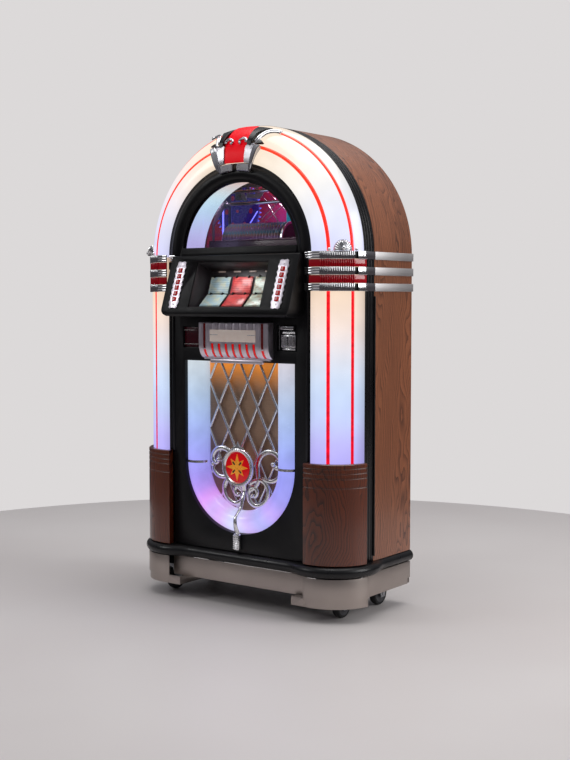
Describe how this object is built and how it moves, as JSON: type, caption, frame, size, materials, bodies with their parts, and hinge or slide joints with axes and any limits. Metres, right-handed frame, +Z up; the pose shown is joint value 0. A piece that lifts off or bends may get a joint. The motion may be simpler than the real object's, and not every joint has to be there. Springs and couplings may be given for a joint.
{
  "type": "jukebox",
  "caption": "Arch-topped slim jukebox with lit columns and U, chrome bands, walnut sides and a hinged front door; sprung keys, disc mechanism and casters.",
  "frame": {"origin": "on the floor at the middle of the width and depth; y = 0 is the seam between door and cabinet", "axes": "+X to the right seen from the front, -Y towards the front, +Z up"},
  "size_m": [0.884, 0.455, 1.5218],
  "materials": {
    "walnut": "satin lacquer",
    "black_board": "satin black lacquer",
    "rear_board": "dark stained board",
    "inlet_plastic": "moulded",
    "nickel": "brushed nickel",
    "bright_strip": "polished",
    "chrome": "mirror",
    "cone_black": "paper and rubber",
    "grey_metal": "powder coat",
    "backdrop_red": "printed rays",
    "mech_steel": "machined",
    "disc_silver": "silvered",
    "tooth_blue": "translucent edge",
    "caster_steel": "zinc plated",
    "wheel_rubber": "moulded",
    "window_glass": "clear",
    "light_warm": "lit translucent",
    "light_cool": "lit translucent",
    "tube_red": "lit",
    "band_red": "dark metallic red",
    "crown_red": "gloss",
    "card_print": "printed card",
    "key_red": "moulded",
    "cloth_gold": "woven",
    "lock_steel": "plated"
  },
  "bodies": {
    "cabinet": {"cabinet_shell": "walnut", "rear_panel": "rear_board", "rear_screws": "lock_steel", "mains_inlet": "inlet_plastic", "base_board": "black_board", "base_moulding": "black_board", "plinth_plates": "nickel", "side_strips": "bright_strip", "inner_boards": "rear_board", "speakers": "cone_black", "amplifier": "grey_metal", "backdrop": "backdrop_red", "mech_frame": "mech_steel", "discs": "disc_silver", "hinge_cabinet_leaf": "lock_steel", "caster_plates": "caster_steel"},
    "door": {"door_panel": "black_board", "window_glass": "window_glass", "arch_light": "light_warm", "pilaster_lights": "light_warm", "bubble_tubes": "tube_red", "edge_moulding": "black_board", "chrome_bands": "chrome", "red_bands": "band_red", "pilaster_bases": "walnut", "crown_brackets": "chrome", "crown_saddle": "crown_red", "title_pod": "inlet_plastic", "title_cards": "card_print", "key_strips": "chrome", "selector_grille": "chrome", "coin_fittings": "chrome", "u_light": "light_cool", "grille_lattice": "chrome", "grille_ornament": "chrome", "speaker_cloth": "cloth_gold", "hinge_door_leaf": "lock_steel"},
    "lock_cam": {"lock_cam": "lock_steel"},
    "reject_button": {"reject_button": "chrome"},
    "disc_carriage": {"disc_carriage": "mech_steel"},
    "gripper_arm": {"gripper_arm": "mech_steel"},
    "toothed_disc": {"toothed_disc": "tooth_blue"},
    "caster_fork_left": {"caster_fork_left": "caster_steel"},
    "caster_fork_right": {"caster_fork_right": "caster_steel"},
    "front_wheel_left": {"front_wheel_left": "wheel_rubber"},
    "front_wheel_right": {"front_wheel_right": "wheel_rubber"},
    "rear_wheel_left": {"rear_wheel_left": "wheel_rubber"},
    "rear_wheel_right": {"rear_wheel_right": "wheel_rubber"},
    "key_left_1": {"key_left_1": "key_red"},
    "key_left_2": {"key_left_2": "key_red"},
    "key_left_3": {"key_left_3": "key_red"},
    "key_left_4": {"key_left_4": "key_red"},
    "key_left_5": {"key_left_5": "key_red"},
    "key_left_6": {"key_left_6": "key_red"},
    "key_right_1": {"key_right_1": "key_red"},
    "key_right_2": {"key_right_2": "key_red"},
    "key_right_3": {"key_right_3": "key_red"},
    "key_right_4": {"key_right_4": "key_red"},
    "key_right_5": {"key_right_5": "key_red"},
    "key_right_6": {"key_right_6": "key_red"}
  },
  "joints": [
    {"name": "door_hinge", "type": "hinge", "parent": "cabinet", "child": "door", "pos_m": [0.413, 0, 0.6], "axis": [0, 0, 1], "range_deg": [0, 100]},
    {"name": "lock_turn", "type": "hinge", "parent": "door", "child": "lock_cam", "pos_m": [-0.4, -0.03, 0.905], "axis": [-1, 0, 0], "range_deg": [0, 90]},
    {"name": "reject_press", "type": "slide", "parent": "door", "child": "reject_button", "axis": [0, 1, 0], "range_m": [0, 0.004], "stiffness_N_per_m": 250, "springref_m": -0.002},
    {"name": "carriage_slide", "type": "slide", "parent": "cabinet", "child": "disc_carriage", "axis": [1, 0, 0], "range_m": [-0.29, 0.11]},
    {"name": "gripper_swing", "type": "hinge", "parent": "disc_carriage", "child": "gripper_arm", "pos_m": [0.092, 0.074, 1.3], "axis": [1, 0, 0], "range_deg": [-20, 60]},
    {"name": "toothed_disc_spin", "type": "hinge", "parent": "cabinet", "child": "toothed_disc", "pos_m": [-0.23, 0.15, 1.275], "axis": [0, 1, 0], "continuous": true},
    {"name": "caster_swivel_left", "type": "hinge", "parent": "cabinet", "child": "caster_fork_left", "pos_m": [-0.336, -0.084, 0.09], "axis": [0, 0, 1], "continuous": true},
    {"name": "front_roll_left", "type": "hinge", "parent": "caster_fork_left", "child": "front_wheel_left", "pos_m": [-0.336, -0.064, 0.0375], "axis": [1, 0, 0], "continuous": true},
    {"name": "rear_roll_left", "type": "hinge", "parent": "cabinet", "child": "rear_wheel_left", "pos_m": [-0.336, 0.147, 0.0375], "axis": [1, 0, 0], "continuous": true},
    {"name": "caster_swivel_right", "type": "hinge", "parent": "cabinet", "child": "caster_fork_right", "pos_m": [0.336, -0.084, 0.09], "axis": [0, 0, 1], "continuous": true},
    {"name": "front_roll_right", "type": "hinge", "parent": "caster_fork_right", "child": "front_wheel_right", "pos_m": [0.336, -0.064, 0.0375], "axis": [1, 0, 0], "continuous": true},
    {"name": "rear_roll_right", "type": "hinge", "parent": "cabinet", "child": "rear_wheel_right", "pos_m": [0.336, 0.147, 0.0375], "axis": [1, 0, 0], "continuous": true},
    {"name": "press_key_left_1", "type": "slide", "parent": "door", "child": "key_left_1", "axis": [0, 0.9454, -0.326], "range_m": [0, 0.003], "stiffness_N_per_m": 250, "springref_m": -0.002},
    {"name": "press_key_left_2", "type": "slide", "parent": "door", "child": "key_left_2", "axis": [0, 0.9454, -0.326], "range_m": [0, 0.003], "stiffness_N_per_m": 250, "springref_m": -0.002},
    {"name": "press_key_left_3", "type": "slide", "parent": "door", "child": "key_left_3", "axis": [0, 0.9454, -0.326], "range_m": [0, 0.003], "stiffness_N_per_m": 250, "springref_m": -0.002},
    {"name": "press_key_left_4", "type": "slide", "parent": "door", "child": "key_left_4", "axis": [0, 0.9454, -0.326], "range_m": [0, 0.003], "stiffness_N_per_m": 250, "springref_m": -0.002},
    {"name": "press_key_left_5", "type": "slide", "parent": "door", "child": "key_left_5", "axis": [0, 0.9454, -0.326], "range_m": [0, 0.003], "stiffness_N_per_m": 250, "springref_m": -0.002},
    {"name": "press_key_left_6", "type": "slide", "parent": "door", "child": "key_left_6", "axis": [0, 0.9454, -0.326], "range_m": [0, 0.003], "stiffness_N_per_m": 250, "springref_m": -0.002},
    {"name": "press_key_right_1", "type": "slide", "parent": "door", "child": "key_right_1", "axis": [0, 0.9454, -0.326], "range_m": [0, 0.003], "stiffness_N_per_m": 250, "springref_m": -0.002},
    {"name": "press_key_right_2", "type": "slide", "parent": "door", "child": "key_right_2", "axis": [0, 0.9454, -0.326], "range_m": [0, 0.003], "stiffness_N_per_m": 250, "springref_m": -0.002},
    {"name": "press_key_right_3", "type": "slide", "parent": "door", "child": "key_right_3", "axis": [0, 0.9454, -0.326], "range_m": [0, 0.003], "stiffness_N_per_m": 250, "springref_m": -0.002},
    {"name": "press_key_right_4", "type": "slide", "parent": "door", "child": "key_right_4", "axis": [0, 0.9454, -0.326], "range_m": [0, 0.003], "stiffness_N_per_m": 250, "springref_m": -0.002},
    {"name": "press_key_right_5", "type": "slide", "parent": "door", "child": "key_right_5", "axis": [0, 0.9454, -0.326], "range_m": [0, 0.003], "stiffness_N_per_m": 250, "springref_m": -0.002},
    {"name": "press_key_right_6", "type": "slide", "parent": "door", "child": "key_right_6", "axis": [0, 0.9454, -0.326], "range_m": [0, 0.003], "stiffness_N_per_m": 250, "springref_m": -0.002}
  ]
}
